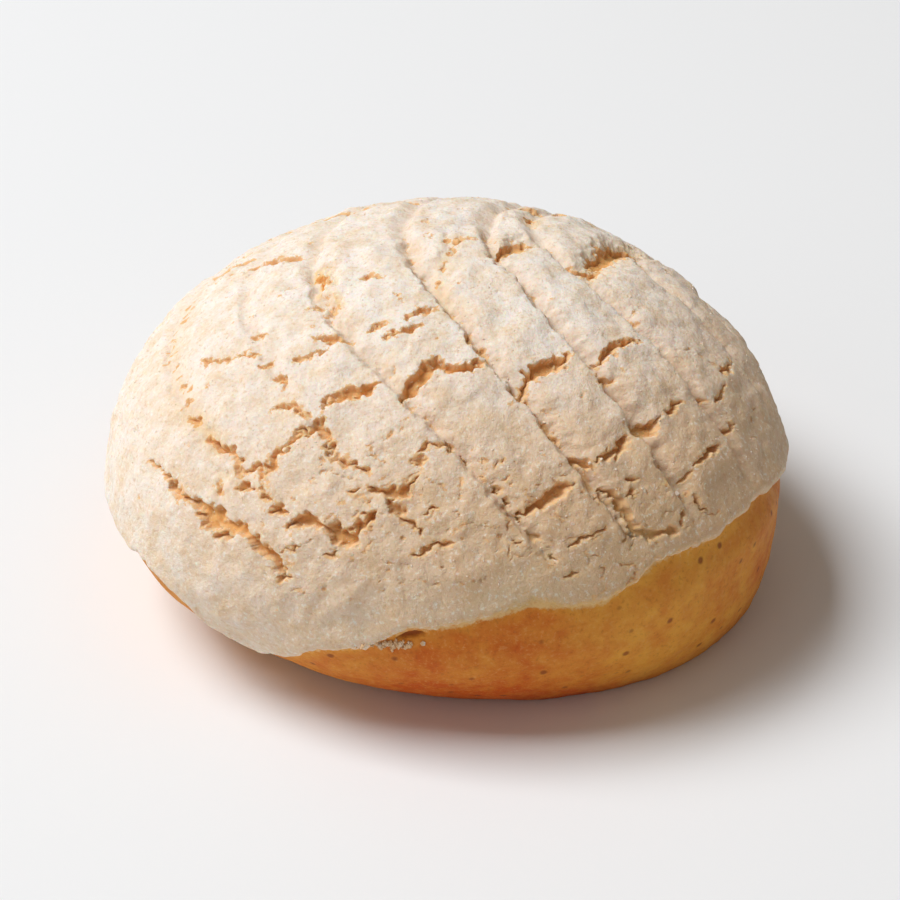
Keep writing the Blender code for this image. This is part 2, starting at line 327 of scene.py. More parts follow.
# Soft hollows in mm: width, depth, how golden they are, then the places where each bends
HOLLOWS = (
    (3.6, 0.5, 0.2, (-54, 12), (-53, 0), (-51, -13), (-49, -20), (-47, -27)),
    (2.6, 0.6, 0.5, (-47.5, -27), (-45, -31.5), (-43, -36)),
    (1.2, 1.0, 1.0, (-24.5, 2.5), (-23.6, -1), (-22.6, -5)),
    (1.4, 0.7, 0.35, (-22.5, 2), (-20.8, -4)),
    (1.0, 0.6, 0.7, (-20.5, -7.5), (-19.5, -10)),
    (3.4, 1.0, 0.3, (7, 4), (11, 9.5), (15, 8)),
    (4.4, 1.7, 0.5, (22, 1), (25, 8), (29, 15), (36, 24)),
    (3.0, 0.6, 0.3, (-2, 6), (-3, 0), (-4, -7), (-3, -14)),
    (2.4, 0.9, 0.4, (-47, -50), (-43, -54)),
    (2.2, 0.6, 0.35, (-43, -43), (-43.5, -47)),
    (3.2, 0.9, 0.4, (14, 25), (12.8, 20.5)),
    (0.6, 0.1, 1.0, (37.2, -45), (37.8, -45)),
)

# How far out a hollow is worked out, in widths, and how steeply it falls off
HOLLOW_REACH = 1.5
HOLLOW_STEEPNESS = 2.0

# Golden dashes down the left score: across and along in mm
DASHES = (
    (-53, 12), (-52.8, 8.5), (-53, 5.5), (-55, 2), (-53.6, -1.6), (-55, -4), (-53, -6.5),
    (-54.4, -9), (-51.4, -12), (-50.8, -15), (-49.4, -18.5), (-48, -20.5), (-48.2, -23.5),
    (-47.4, -28),
)
DASH_LENGTH = 1.5
DASH_WIDTH = 0.8
DASH_GOLD = 0.9
DASH_RISE = 0.3

# Loose crumbs on the topping: across and along in mm, then how wide each is
CRUMBS = (
    (42.5, -46.5, 1.1), (23.5, -45, 0.9), (25, -44, 0.6),
    (6, -30, 0.6), (8, -31.5, 0.7), (15, -38, 0.6),
)
# Crumbs clinging to the bread under the torn edge: middle and spread in mm, how many there are,
# and their widths in mm
TORN_PLACE = (-13.0, -89.8)
TORN_SPREAD = (3.3, 0.7)
TORN_CRUMBS = 80
TORN_WIDTHS = (0.4, 1.1)

# The gash in the bread above them: its depth, how far from its line it starts and stops fading, and
# the places where it bends, in mm
GASH_DEPTH = 0.6
GASH_ENDS = (0.3, 0.9)
GASH = ((-10.5, -87.5), (-8.5, -87), (-5.5, -86.6))

# Sugar grains: how many, the steepest drop where they lie, in degrees, their widths in mm, and how
# far the middle of a grain stands over the surface, as a share of its width
GRAINS = 2200
GRAIN_REACH = 74.0
GRAIN_WIDTH = 0.16
GRAIN_SPREAD = 0.24
GRAIN_RISE = 0.05

# The shapes of crumbs and grains: how far out each corner is drawn and how far each is stretched,
# as shares, and how much of the darker colour, partly baked and partly painted shade, those on top take
CORNER_SPREAD = (0.6, 1.3)
STRETCH = (0.6, 1.1)
CRUMB_BAKED_AND_SHADED = 0.15

# Unevenness: how much, the size of its lumps in mm, and the seed of each layer. The rim's bites
# are in degrees of drop. The changes of width, the gaps in hair cracks, the lumps of a crack's
# floor and the mottle of the bread are shares, and all else is in mm.
RIM_BITES = ((0.6, 4.0, 3), (0.5, 1.6, 17), (0.3, 0.8, 18))
SIDEWAYS = ((0.5, 4.0, 1), (0.35, 1.9, 2))
LENGTHWAYS = ((0.5, 4.0, 4), (0.35, 1.9, 5))
GRIT_SIDEWAYS = ((0.55, 1.0, 6),)
GRIT_LENGTHWAYS = ((0.55, 1.0, 7),)
WIDTH_CHANGES = ((1.0, 3.0, 8), (0.5, 1.4, 19))
HAIR_GAPS = ((1.0, 1.5, 16),)
SCORE_SWAY = ((0.5, 9.0, 9),)
FLOOR_LUMPS = ((0.16, 1.3, 20),)
TOPPING_LUMPS = ((0.24, 11.0, 11), (0.25, 5.0, 12), (0.18, 2.6, 13), (0.07, 1.3, 14))
BREAD_PEBBLES = ((0.05, 2.2, 21), (0.03, 0.9, 22), (0.14, 7.0, 23))
BREAD_MOTTLE = ((0.12, 9.0, 24), (0.09, 3.0, 25))
GASH_EDGE = ((0.35, 1.0, 26),)

# Cracks of the back, as the solids have them
BACK_CRACKS = 16
BACK_BEARINGS = (25, 170)
BACK_REACH = (32, 72)
BACK_LENGTH = (6, 13)
BACK_SLANT = -0.5
BACK_SLANT_SPREAD = 0.4
BACK_WIDTH = 1.7
BACK_GOLD = 0.6
SEED = 21

# Hair cracks and pits: the seed of their draws, how many, how many of them in front, the patch in
# mm for those and for the rest, the share that are pits, and their lengths and widths in mm. They
# slant as the front or the back does, in radians, and turn a little at each bend.
HAIR_SEED = 5
HAIRS = 330
HAIRS_IN_FRONT = 200
FRONT_PATCH = ((-40, 50), (-76, -44))
WHOLE_PATCH = ((-70, 70), (-60, 70))
PIT_SHARE = 0.65
PIT_LENGTH = (0.1, 0.5)
PIT_WIDTH = (0.5, 0.9)
HAIR_LENGTH = (0.6, 3.0)
HAIR_WIDTH = (0.3, 0.6)
FRONT_SLANT = 0.35
SLANT_SPREAD = 0.5
HAIR_BENDS = 3
BEND_SPREAD = 0.45
HAIR_GOLD = 0.45

# How far the bread is baked, from 0 for yellow to 1 for orange: all over, in front, under the rim,
# at the right and in a pale patch. Sides are a bearing and its spread in degrees, and heights in mm.
TOAST_EVEN = 0.26
TOAST_FRONT = 0.95
FRONT_SIDE = (268.0, 28.0)
TOAST_HEIGHTS = (1.0, 17.0)
TOAST_LESS_AT_RIM = 0.25
UNDER_RIM = 3.0
TOAST_RIGHT = 0.16
RIGHT_TURNS = (312.0, 332.0)
TOAST_LESS_IN_PATCH = 0.15
PALE_PATCH = (301.0, 9.0)

# Light: places and sizes in metres, power in watts
KEY_PLACE = (-1.34, 0.18, 2.17)
KEY_SIZE = 1.25
KEY_POWER = 64.0
KEY_COLOUR = (0.975, 0.987, 1.0)
FILL_PLACE = (-1.60, -1.25, 0.95)
FILL_SIZE = 1.40
FILL_POWER = 4.0
FILL_COLOUR = (1.0, 0.97, 0.93)
SKY_COLOUR = (1.0, 0.90, 0.78, 1.0)
SKY_STRENGTH = 0.215

# Camera, as the photo is framed
LOOK_AT = Vector((-0.0003, -0.0017, 0.025))
LOOK_DOWN = math.radians(35.0)
CAMERA_DISTANCE = 0.35417
LENS = 82.7
PHOTO_SIDE = 900.0
LOOK_AT_PIXEL = (441.8, 424.1)


# Shaping
def smooth_step(value, low, high):
    """0 below low, 1 above high, and a soft ramp between them."""
    ramp = np.clip((value - low) / (high - low), 0.0, 1.0)
    return ramp * ramp * (3.0 - 2.0 * ramp)


def signed_power(value, power):
    return np.sign(value) * np.abs(value) ** power


def form_places(bearing, drop, offset):
    """Places on the form of the whole, moved out by offset, in metres."""
    for middle, spread, deep, drop_spread, amount in SWELLS:
        away = np.exp(-((np.degrees(drop) - deep) / drop_spread) ** 2)
        offset = offset + amount * away * near_bearing(bearing, middle, spread)
    level = np.cos(drop)
    power = 2.0 / np.where(level >= 0.0, UPPER_POWER, LOWER_POWER)
    reach = np.where(level >= 0.0, HEIGHT - BELLY_HEIGHT, BELLY_TO_KEEL) + offset
    height = BELLY_HEIGHT + reach * signed_power(level, power)
    below = np.clip((BELLY_HEIGHT - height) / BELLY_HEIGHT, 0.0, 1.0) ** FOOT_EASE
    over = np.clip((height - BELLY_HEIGHT) / (HEIGHT - BELLY_HEIGHT), 0.0, 1.0)
    wobble = 1.0 + OVALNESS * np.sin(2.0 * bearing) + THREE_SIDEDNESS * np.sin(3.0 * bearing)
    radius = (HALF_WIDTH * wobble + offset) * np.abs(np.sin(drop)) ** power
    x = CENTRE[0] + radius * np.cos(bearing) + FOOT_SHIFT[0] * below + CROWN_SHIFT * over
    y = CENTRE[1] + DEPTH_RATIO * radius * np.sin(bearing) + FOOT_SHIFT[1] * below
    return np.stack((x, y, height), axis=-1)


def rim_drop(bearing):
    """Drop of the topping's lower edge: straight between the named places, and slightly wavy."""
    bearings = [stop[0] for stop in RIM]
    drops = [stop[1] for stop in RIM]
    wave = RIM_WAVE * (np.sin(9.0 * bearing + 1.0) + 0.6 * np.sin(23.0 * bearing))
    return np.radians(np.interp(np.degrees(bearing), bearings, drops, period=360.0) + wave)


def near_bearing(bearing, middle, spread):
    """1 at the middle bearing, falling off over the spread, both in degrees."""
    turn = (np.degrees(bearing) - middle + 180.0) % 360.0 - 180.0
    return np.exp(-(turn / spread) ** 2)


def bread_offset(bearing, drop):
    """The bread lies under the topping, and swells out to the form below the rim."""
    past_rim = np.degrees(drop - rim_drop(bearing))
    tucked = near_bearing(bearing, *TUCKED_SIDE)
    lip = LIP + TUCKED_LIP * tucked - FEATHERED_LIP * near_bearing(bearing, *FEATHERED_SIDE)
    under = -TOPPING + (TOPPING - lip) * smooth_step(past_rim, *BREAD_RISE)
    return under + lip * smooth_step(past_rim, 0.0, SWOLLEN_OUT - TUCKED_SOONER * tucked)


def lumps(places, size, seed):
    """Soft noise with lumps of that size in mm, mostly within -1 to 1 and half that on average."""
    grid = places / size + 7.31 * seed
    cell = np.floor(grid)
    part = grid - cell
    ease = part * part * part * (part * (part * 6.0 - 15.0) + 10.0)
    cell = cell.astype(np.int64)
    total = np.zeros(len(places))
    for corner in itertools.product((0, 1), repeat=3):
        key = cell + np.array(corner)
        mixed = key[:, 0] * 374761393 + key[:, 1] * 668265263 + key[:, 2] * 1442695041
        mixed = (mixed + seed * 97531) & 0x7FFFFFFF
        mixed = ((mixed ^ (mixed >> 13)) * 1274126177) & 0x7FFFFFFF
        mixed = mixed ^ (mixed >> 16)
        weight = np.ones(len(places))
        push = np.zeros(len(places))
        for axis in range(3):
            weight *= ease[:, axis] if corner[axis] else 1.0 - ease[:, axis]
            slope = ((mixed >> (10 * axis)) & 1023) / 511.5 - 1.0
            push += slope * (part[:, axis] - corner[axis])
        total += weight * push
    return 2.6 * total


def layered(places, layers):
    """The layers of lumps added up, in the layers' own units."""
    return sum(amount * lumps(places, size, seed) for amount, size, seed in layers)


def back_cracks():
    """Cracks across the ribs on the hidden side, by the same habit as those in front."""
    draw = random.Random(SEED)
    cracks = []
    low, high = BACK_BEARINGS
    for number in range(BACK_CRACKS):
        bearing = math.radians(low + (high - low) * (number + draw.random()) / BACK_CRACKS)
        reach = draw.uniform(*BACK_REACH)
        slant = BACK_SLANT + draw.uniform(-BACK_SLANT_SPREAD, BACK_SLANT_SPREAD)
        half = 0.5 * draw.uniform(*BACK_LENGTH)
        middle = (reach * math.cos(bearing), reach * math.sin(bearing))
        start = (middle[0] - half * math.cos(slant), middle[1] - half * math.sin(slant))
        end = (middle[0] + half * math.cos(slant), middle[1] + half * math.sin(slant))
        cracks.append((BACK_WIDTH, BACK_GOLD, start, middle, end))
    return cracks


def hair_cracks():
    """Short fine cracks and pits, thickest on the smooth front, the same on each run."""
    draw = random.Random(HAIR_SEED)
    cracks = []
    for number in range(HAIRS):
        patch = FRONT_PATCH if number < HAIRS_IN_FRONT else WHOLE_PATCH
        across = draw.uniform(*patch[0])
        along = draw.uniform(*patch[1])
        slant = draw.gauss(FRONT_SLANT if along < 0 else BACK_SLANT, SLANT_SPREAD)
        pit = draw.random() < PIT_SHARE
        length = draw.uniform(*(PIT_LENGTH if pit else HAIR_LENGTH))
        width = draw.uniform(*(PIT_WIDTH if pit else HAIR_WIDTH))
        places = [(across, along)]
        for _ in range(HAIR_BENDS):
            slant += draw.gauss(0.0, BEND_SPREAD)
            across += length * math.cos(slant)
            along += length * math.sin(slant)
            places.append((across, along))
        cracks.append((width, HAIR_GOLD, *places))
    return cracks


def nearest_on(bends, across, along):
    """For each place, how far the line of bends is and how far from its ends that is, both in mm,
    and 1 where the place lies on the far side of the line to -1 on the near side."""
    best = np.full(len(across), 1e9)
    from_end = np.zeros(len(across))
    far_side = np.zeros(len(across))
    total = sum(math.dist(start, end) for start, end in zip(bends, bends[1:]))
    gone = 0.0
    for start, end in zip(bends, bends[1:]):
        run = (end[0] - start[0], end[1] - start[1])
        length = math.hypot(*run)
        share = ((across - start[0]) * run[0] + (along - start[1]) * run[1]) / length ** 2
        share = np.clip(share, 0.0, 1.0)
        aside = (across - start[0] - share * run[0], along - start[1] - share * run[1])
        distance = np.hypot(*aside)
        place = gone + share * length
        better = distance < best
        best = np.where(better, distance, best)
        from_end = np.where(better, np.minimum(place, total - place), from_end)
        back = FAR_SIDE[0] * aside[0] + FAR_SIDE[1] * aside[1]
        far_side = np.where(better, back / np.maximum(distance, 1e-6), far_side)
        gone += length
    return best, from_end, far_side


def near_line(bends, reach, across, along):
    """Which places are within reach of the box round the line."""
    xs = [bend[0] for bend in bends]
    ys = [bend[1] for bend in bends]
    inside = (across > min(xs) - reach) & (across < max(xs) + reach)
    inside &= (along > min(ys) - reach) & (along < max(ys) + reach)
    return np.flatnonzero(inside)


def carve_cracks(cracks, across, along, ragged, relief, gold, lip, stain):
    """Deepens relief and gold along each crack, stains its edges and lifts the near one into a lip.

    The far wall rounds over and slopes down, and the near wall is steep. Widths swell and pinch
    by the ragged noise.
    """
    for width, golden, *bends in cracks:
        near = near_line(bends, width + CRACK_REACH, across, along)
        if not len(near):
            continue
        distance, from_end, far_side = nearest_on(bends, across[near], along[near])
        taper = np.sqrt(np.clip(from_end / (END_TAPER * width), END_WIDTH, 1.0))
        best = distance - 0.5 * width * taper * (1.0 + WIDTH_CHANGE * ragged[near])
        deep = min(DEEPEST_SHARE, SHALLOWEST + DEEPER_WITH_WIDTH * width)
        far = 0.5 + 0.5 * far_side
        soft = min(1.0, width / WIDE) * far
        foot = NEAR_WALL[0] + FAR_WALL_MORE[0] * soft
        brow = NEAR_WALL[1] + FAR_WALL_MORE[1] * soft
        wall = 1.0 - smooth_step(best, foot, brow)
        relief[near] = np.maximum(relief[near], deep * wall)
        gold[near] = np.maximum(gold[near], golden * (1.0 - smooth_step(best, *GOLD_EDGE)))
        edge = np.exp(-(np.maximum(best, 0.0) / LIP_WIDTH) ** 2) * (1.0 - far) * min(1.0, width / WIDE)
        lip[near] = np.maximum(lip[near], edge)
        beside = 1.0 - smooth_step(best, *STAIN_EDGE)
        stain[near] = np.maximum(stain[near], beside)


def dashes():
    """The golden dashes as short narrow cracks across the score."""
    half = 0.5 * DASH_LENGTH
    marks = []
    for across, along in DASHES:
        start = (across - half, along - DASH_RISE)
        end = (across + half, along + DASH_RISE)
        marks.append((DASH_WIDTH, DASH_GOLD, start, end))
    return tuple(marks)


def press_hollows(across, along, depth, gold):
    """Deepens depth, in mm, and gold over each soft hollow."""
    for width, deep, golden, *bends in HOLLOWS:
        near = near_line(bends, HOLLOW_REACH * width, across, along)
        distance, _, _ = nearest_on(bends, across[near], along[near])
        shape = np.exp(-HOLLOW_STEEPNESS * (distance / width) ** 2)
        depth[near] = np.maximum(depth[near], deep * shape)
        gold[near] = np.maximum(gold[near], golden * shape)


def score_shape(across, along, crisp):
    """Depth of the scores in mm and how much of the thin open line there is, as two arrays."""
    depth = np.zeros_like(across)
    line = np.zeros_like(across)
    for left, middle, swing, front, back, deep, open_line in SCORES:
        reach = np.abs(along - middle) / SWING_REACH
        side = across - (left + swing * reach ** SWING_POWER)
        side = side / np.hypot(1.0, swing * SWING_POWER * reach ** (SWING_POWER - 1.0) / SWING_REACH)
        ends = smooth_step(along, front - SCORE_END, front + SCORE_FADE)
        ends = ends * (1.0 - smooth_step(along, back - SCORE_FADE, back + SCORE_END))
        rise = smooth_step(side, RISE_SHARPENED * crisp - RISE_SOFT, SCORE_FLOOR)
        first_end = FIRST_FALL_END + FIRST_FALL_CRISP * crisp
        fall = 1.0 - FIRST_FALL * smooth_step(side, SCORE_FLOOR, first_end)
        fall -= SECOND_FALL * smooth_step(side, *SECOND_FALL_ENDS)
        full = SOFT_DEPTH + (1.0 - SOFT_DEPTH) * crisp
        depth = np.maximum(depth, deep * full * ends * rise * fall)
        shown = SOFT_LINE + (1.0 - SOFT_LINE) * crisp
        thin = open_line * ends * shown * np.exp(-((side - LINE_PLACE) / LINE_WIDTH) ** 2)
        line = np.maximum(line, thin)
    return depth, line


# Pieces
def add_ball(name, subdivisions):
    """A fine ball to be shaped, with nothing else selected."""
    bpy.ops.object.select_all(action="DESELECT")
    bpy.ops.mesh.primitive_ico_sphere_add(subdivisions=subdivisions, radius=1.0)
    ball = bpy.context.object
    ball.name = name
    ball.data.name = name
    return ball


def ways_of(ball):
    """Bearing and angle from the pole of each vertex of a ball."""
    flat = np.empty(3 * len(ball.data.vertices))
    ball.data.vertices.foreach_get("co", flat)
    ways = flat.reshape(-1, 3)
    return np.arctan2(ways[:, 1], ways[:, 0]), np.arccos(np.clip(ways[:, 2], -1.0, 1.0))


def move_vertices(piece, places):
    piece.data.vertices.foreach_set("co", places.ravel())
    piece.data.update()


def add_mask(piece, name, values):
    """Stores one number for each vertex, for the material to read."""
    attribute = piece.data.attributes.new(name, "FLOAT", "POINT")
    attribute.data.foreach_set("value", values.astype(np.float32))


def thin_out(piece, most_triangles):
    """Merges the flattest faces until that many triangles are left."""
    have = sum(len(face.vertices) - 2 for face in piece.data.polygons) if FINE else 0
    if have > most_triangles:
        thin = piece.modifiers.new("thin_out", "DECIMATE")
        thin.ratio = most_triangles / have
        bpy.ops.object.modifier_apply(modifier=thin.name)


def ragged_rim(bearing):
    """Drop of the topping's lower edge with its small bites."""
    ring = np.stack((np.cos(bearing), np.sin(bearing), np.zeros_like(bearing)), -1)
    return rim_drop(bearing) + np.radians(layered(RIM_RADIUS * ring, RIM_BITES))


def carve_all_cracks(plain, across, along):
    """Cracks, hair cracks, lips, gold and stains as shares, the hollows in mm, and the ragged noise."""
    ragged = layered(plain, WIDTH_CHANGES)
    cracks, gold, lip, hollows, hairs, stain, faint = np.zeros((7, len(across)))
    main = CRACKS + PITS + dashes() + tuple(back_cracks())
    carve_cracks(main, across, along, ragged, cracks, gold, lip, stain)
    press_hollows(across, along, hollows, gold)
    carve_cracks(hair_cracks(), across, along, ragged, hairs, gold, lip, faint)
    broken = smooth_step(layered(plain, HAIR_GAPS), *HAIR_BREAKS)
    layers = {"cracks": cracks, "hairs": hairs * broken, "hollows": hollows, "lip": lip}
    layers.update(gold=gold, stain=stain, faint=faint * broken, ragged=ragged)
    return layers


def carved_relief(plain, across, along):
    """Depth of scores, cracks and hollows in mm, the height of the lips, and the masks."""
    crisp = 1.0 - smooth_step(along, *CRISP_ENDS)
    warp_across = layered(plain, SIDEWAYS)
    grit_across = layered(plain, GRIT_SIDEWAYS)
    bent_along = along + layered(plain, LENGTHWAYS) + layered(plain, GRIT_LENGTHWAYS)
    layers = carve_all_cracks(plain, across + warp_across + grit_across, bent_along)
    cracks = layers["cracks"]
    hairs = layers["hairs"]
    sway = (SOFT_SWAY + CRISP_SWAY * crisp) * warp_across
    score_across = across + layered(plain, SCORE_SWAY) + sway
    scores, line = score_shape(score_across + CRISP_GRIT * crisp * grit_across, along, crisp)
    line *= smooth_step(layers["ragged"], *LINE_BREAKS)
    floor = CRACK_DEPTH * cracks * (1.0 + layered(plain, FLOOR_LUMPS))
    carved = scores + np.maximum(np.maximum(floor, HAIR_DEPTH * hairs), LINE_DEPTH * line)
    carved = np.minimum(np.maximum(carved, layers["hollows"] + CRACK_IN_HOLLOW * floor), DEEPEST)
    masks = {
        "crack": np.clip(np.maximum(cracks, HAIR_COLOUR * hairs), 0.0, 1.0),
        "stain": np.maximum(layers["stain"], HAIR_COLOUR * layers["faint"]),
        "gold": layers["gold"],
        "score": np.clip(scores / FULL_SCORE, 0.0, 1.0),
        "line": line,
    }
    return carved, LIP_LIFT * layers["lip"] * (1.0 - np.clip(2.0 * cracks, 0.0, 1.0)), masks


def topping_height(bearing, drop, rim):
    """Height of the topping's outside over the form and of its inside, both in mm, and the masks."""
    plain = 1000.0 * form_places(bearing, drop, 0.0)
    reach = 1000.0 * BALL * drop
    carved, lips, masks = carved_relief(plain, reach * np.cos(bearing), reach * np.sin(bearing))
    past_rim = 1000.0 * BALL * (drop - rim)
    calm = 1.0 - smooth_step(past_rim, *CALM_ENDS)
    kept = 1.0 - CALMED_LUMPS * smooth_step(past_rim, *CALM_LUMP_ENDS)
    swell = layered(plain, TOPPING_LUMPS) * kept
    tucked = near_bearing(bearing, *TUCKED_SIDE)
    feathered = near_bearing(bearing, *FEATHERED_SIDE)
    proud = 1000.0 * (LIP_PROUD + TUCKED_PROUD * tucked - FEATHERED_PROUD * feathered)
    deep = carved * (CALM_RELIEF + (1.0 - CALM_RELIEF) * calm)
    height = proud * (1.0 - calm) + swell - deep + lips * calm
    inside = 1000.0 * (bread_offset(bearing, drop) - TUCK)
    turn = np.clip(1.0 + past_rim / (1000.0 * (LIP_ROUND + TUCKED_ROUND * tucked)), 0.0, 1.0)
    height = inside + (np.maximum(height, inside + THINNEST) - inside) * np.sqrt(1.0 - turn * turn)
    return height, inside, masks


def add_topping():
    """The sugar topping: the ball is its outside down to the fold, and the rest folds back under it."""
    topping = add_ball("sugar_paste_topping", TOPPING_SUBDIVISIONS)
    bearing, polar = ways_of(topping)
    rim = ragged_rim(bearing)
    outside = polar <= FOLD
    drop = rim * np.where(outside, polar / FOLD, (math.pi - polar) / (math.pi - FOLD))
    height, inside, masks = topping_height(bearing, drop, rim)
    offset = np.where(outside, height, inside)
    move_vertices(topping, form_places(bearing, drop, offset / 1000.0))
    for name, values in masks.items():
        add_mask(topping, name, np.where(outside, values, 0.0))
    # Painted shade, with some baked tint, on the front-right side away from the key light
    baked_and_shaded = BAKED_AND_SHADED_SHARE * near_bearing(bearing, *BAKED_AND_SHADED_SIDE) * smooth_step(drop, *BAKED_AND_SHADED_DROPS)
    add_mask(topping, "baked_and_shaded", baked_and_shaded)
    thin_rim = smooth_step(1000.0 * BALL * (drop - rim), *THIN_RIM)
    uneven = EVEN_RIM + (1.0 - EVEN_RIM) * near_bearing(bearing, *FEATHERED_SIDE)
    add_mask(topping, "rim", thin_rim * uneven)
    thin_out(topping, TOPPING_TRIANGLES)
    topping.data.shade_smooth()
    return topping


def crumb_places():
    """Bearing, drop and width of each crumb and sugar grain, the same on each run."""
    draw = np.random.default_rng(SEED)
    bearing = draw.uniform(0.0, 2.0 * math.pi, GRAINS)
    cap = 1.0 - math.cos(math.radians(GRAIN_REACH))
    drop = np.arccos(1.0 - draw.uniform(0.0, 1.0, GRAINS) * cap)
    width = GRAIN_WIDTH + GRAIN_SPREAD * draw.uniform(0.0, 1.0, GRAINS) ** 3
    torn = []
    for _ in range(TORN_CRUMBS):
        across = draw.normal(TORN_PLACE[0], TORN_SPREAD[0])
        along = draw.normal(TORN_PLACE[1], TORN_SPREAD[1])
        torn.append((across, along, draw.uniform(*TORN_WIDTHS)))
    named = np.array(list(CRUMBS) + torn)
    bearing = np.concatenate((bearing, np.arctan2(named[:, 1], named[:, 0])))
    drop = np.concatenate((drop, np.hypot(named[:, 0], named[:, 1]) / (1000.0 * BALL)))
    return bearing, drop, np.concatenate((width, named[:, 2]))


def add_crumbs():
    """Loose crumbs and sugar grains on the topping, joined into one piece."""
    bpy.ops.object.select_all(action="DESELECT")
    bpy.ops.mesh.primitive_ico_sphere_add(subdivisions=1, radius=0.5)
    crumbs = bpy.context.object
    crumbs.name = "sugar_crumbs"
    corners = np.array([vertex.co for vertex in crumbs.data.vertices])
    faces = np.array([list(face.vertices) for face in crumbs.data.polygons])
    bearing, drop, width = crumb_places()
    height, _, _ = topping_height(bearing, drop, ragged_rim(bearing))
    on_bread = 1000.0 * bread_offset(bearing, drop)
    seat = form_places(bearing, drop, (np.maximum(height, on_bread) + GRAIN_RISE * width) / 1000.0)
    draw = np.random.default_rng(SEED + 1)
    shapes = corners[None] * draw.uniform(*CORNER_SPREAD, (len(width), len(corners), 1))
    shapes = shapes * draw.uniform(*STRETCH, (len(width), 1, 3)) * width[:, None, None] / 1000.0
    places = (seat[:, None] + shapes).reshape(-1, 3)
    turns = (faces[None] + len(corners) * np.arange(len(width))[:, None, None]).reshape(-1, 3)
    crumbs.data.clear_geometry()
    crumbs.data.from_pydata(places.tolist(), [], turns.tolist())
    crumbs.data.name = "sugar_crumbs"
    torn = np.arange(len(width)) >= GRAINS + len(CRUMBS)
    # The torn crumbs take all of the darker colour, partly baked and partly painted shade; those on top
    # take a little
    add_mask(crumbs, "baked_and_shaded", np.repeat(np.where(torn, 1.0, CRUMB_BAKED_AND_SHADED), len(corners)))
    return crumbs


def bread_toast(plain, bearing, past_rim):
    """How far the bread is baked from yellow to orange: most in front, least under the rim."""
    turn = np.degrees(bearing) % 360.0
    low = 1.0 - smooth_step(plain[:, 2], *TOAST_HEIGHTS)
    toast = TOAST_EVEN + TOAST_FRONT * near_bearing(bearing, *FRONT_SIDE) * (0.5 + 0.5 * low)
    toast -= TOAST_LESS_AT_RIM * np.exp(-(past_rim / UNDER_RIM) ** 2)
    toast += TOAST_RIGHT * smooth_step(turn, *RIGHT_TURNS)
    toast -= TOAST_LESS_IN_PATCH * near_bearing(bearing, *PALE_PATCH)
    return np.clip(toast + layered(plain, BREAD_MOTTLE), 0.0, 1.0)


def add_bun():
    """The bread, finest where it shows, cut level at the foot."""
    bun = add_ball("golden_bun", BUN_SUBDIVISIONS)
    bearing, polar = ways_of(bun)
    hidden = rim_drop(bearing) - HIDDEN_BAND
    below = hidden + (math.pi - hidden) * (polar - SIDE_START) / (math.pi - SIDE_START)
    drop = np.where(polar < SIDE_START, hidden * polar / SIDE_START, below)
    plain = 1000.0 * form_places(bearing, drop, 0.0)
    pebbles = layered(plain, BREAD_PEBBLES)
    past_rim = np.degrees(drop - rim_drop(bearing))
    shown = smooth_step(past_rim, *PEBBLE_ENDS)
    reach = 1000.0 * BALL * drop
    gap, _, _ = nearest_on(GASH, reach * np.cos(bearing), reach * np.sin(bearing))
    gash = 1.0 - smooth_step(gap + layered(plain, GASH_EDGE), *GASH_ENDS)
    offset = bread_offset(bearing, drop) + 0.001 * (pebbles * shown - GASH_DEPTH * gash)
    places = form_places(bearing, drop, offset)
    places[:, 2] = np.maximum(places[:, 2], 0.0)
    move_vertices(bun, places)
    add_mask(bun, "toast", bread_toast(plain, bearing, past_rim))
    add_mask(bun, "gash", gash)
    uneven = EVEN_DUST + (1.0 - EVEN_DUST) * near_bearing(bearing, *FEATHERED_SIDE)
    add_mask(bun, "dust", (1.0 - smooth_step(past_rim, *DUST_ENDS)) * uneven)
    thin_out(bun, BUN_TRIANGLES)
    bun.data.shade_smooth()
    return bun


# Materials
def add_material(name):
    """A new material, with its nodes, its links and its shader."""
    material = bpy.data.materials.new(name)
    material.use_nodes = True
    tree = material.node_tree
    shader = tree.nodes["Principled BSDF"]
    return material, tree, shader


def put(tree, kind, **values):
    """A node of that kind. A value goes to the socket of that name, or else to the node itself."""
    node = tree.nodes.new(kind)
    for name, value in values.items():
        socket = node.inputs.get(name.replace("_", " "))
        if socket is not None:
            socket.default_value = value
        else:
            setattr(node, name, value)
    return node


def object_places(tree):
    return put(tree, "ShaderNodeTexCoord").outputs["Object"]


def noise(tree, places, scale, detail=3.0, roughness=0.5):
    node = put(tree, "ShaderNodeTexNoise", Scale=scale, Detail=detail, Roughness=roughness)
    tree.links.new(places, node.inputs["Vector"])
    return node.outputs["Fac"]


def remap(tree, value, low, high, to_low=0.0, to_high=1.0):
    node = put(tree, "ShaderNodeMapRange", From_Min=low, From_Max=high, To_Min=to_low, To_Max=to_high)
    tree.links.new(value, node.inputs["Value"])
    return node.outputs["Result"]


def mix(tree, share, first, second):
    """Blend of two colours, each a socket or a plain colour."""
    node = put(tree, "ShaderNodeMix", data_type="RGBA")
    for socket, value in ((node.inputs[0], share), (node.inputs[6], first), (node.inputs[7], second)):
        if isinstance(value, (float, tuple)):
            socket.default_value = value
        else:
            tree.links.new(value, socket)
    return node.outputs[2]


def maths(tree, operation, first, second):
    """One sum, of two values that are each a socket or a plain number."""
    node = put(tree, "ShaderNodeMath", operation=operation)
    for socket, value in ((node.inputs[0], first), (node.inputs[1], second)):
        if isinstance(value, float):
            socket.default_value = value
        else:
            tree.links.new(value, socket)
    return node.outputs[0]


def tint(tree, colour, share, most, towards):
    """The colour, mixed towards another by the share of the most."""
    return mix(tree, maths(tree, "MULTIPLY", share, most), colour, towards)


def mask(tree, name):
    """The numbers stored on the piece under that name."""
    return put(tree, "ShaderNodeAttribute", attribute_name=name).outputs["Fac"]


